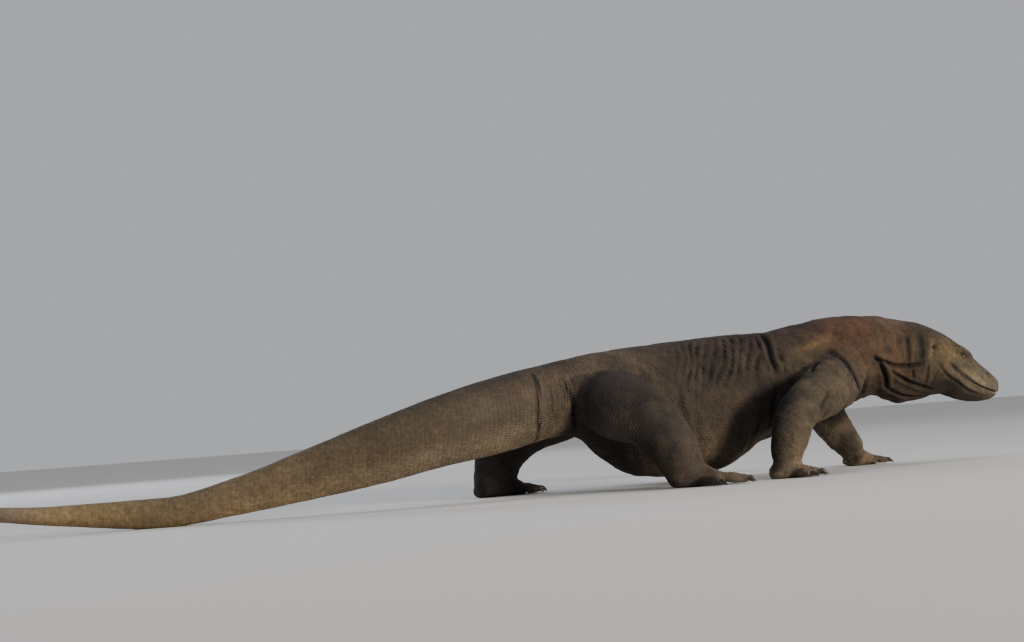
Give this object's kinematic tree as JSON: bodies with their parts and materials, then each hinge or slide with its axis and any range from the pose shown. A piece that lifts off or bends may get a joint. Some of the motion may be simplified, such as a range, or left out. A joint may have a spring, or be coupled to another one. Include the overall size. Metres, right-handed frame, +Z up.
{
  "type": "komodo dragon",
  "caption": "Life-size still figure of a large monitor lizard in mid stride, head lowered, long tail trailing, standing on its own feet.",
  "frame": {"origin": "middle of the bounding box, on the plane the feet stand on", "axes": "+Z up, +X from the tail towards the head, +Y towards the animal's left side"},
  "size_m": [2.777, 0.6862, 0.389],
  "materials": {
    "head_skin": "matte",
    "neck_skin": "matte",
    "body_skin": "matte",
    "tail_skin": "matte",
    "leg_skin": "matte",
    "claw_horn": "satin",
    "eye": "polished"
  },
  "bodies": {
    "root": {"head": "head_skin", "lower_jaw": "head_skin", "neck": "neck_skin", "chest": "body_skin", "belly": "body_skin", "hips": "body_skin", "tail_base": "tail_skin", "tail_middle": "tail_skin", "tail_end": "tail_skin", "eye_right": "eye", "eye_left": "eye", "fore_right_arm": "leg_skin", "fore_right_forearm": "leg_skin", "fore_right_foot": "leg_skin", "fore_right_claw_1": "claw_horn", "fore_right_claw_2": "claw_horn", "fore_right_claw_3": "claw_horn", "fore_right_claw_4": "claw_horn", "fore_right_claw_5": "claw_horn", "fore_left_arm": "leg_skin", "fore_left_forearm": "leg_skin", "fore_left_foot": "leg_skin", "fore_left_claw_1": "claw_horn", "fore_left_claw_2": "claw_horn", "fore_left_claw_3": "claw_horn", "fore_left_claw_4": "claw_horn", "fore_left_claw_5": "claw_horn", "hind_right_thigh": "leg_skin", "hind_right_shank": "leg_skin", "hind_right_foot": "leg_skin", "hind_right_claw_1": "claw_horn", "hind_right_claw_2": "claw_horn", "hind_right_claw_3": "claw_horn", "hind_right_claw_4": "claw_horn", "hind_right_claw_5": "claw_horn", "hind_left_thigh": "leg_skin", "hind_left_shank": "leg_skin", "hind_left_foot": "leg_skin", "hind_left_claw_1": "claw_horn", "hind_left_claw_2": "claw_horn", "hind_left_claw_3": "claw_horn", "hind_left_claw_4": "claw_horn", "hind_left_claw_5": "claw_horn"}
  },
  "joints": []
}
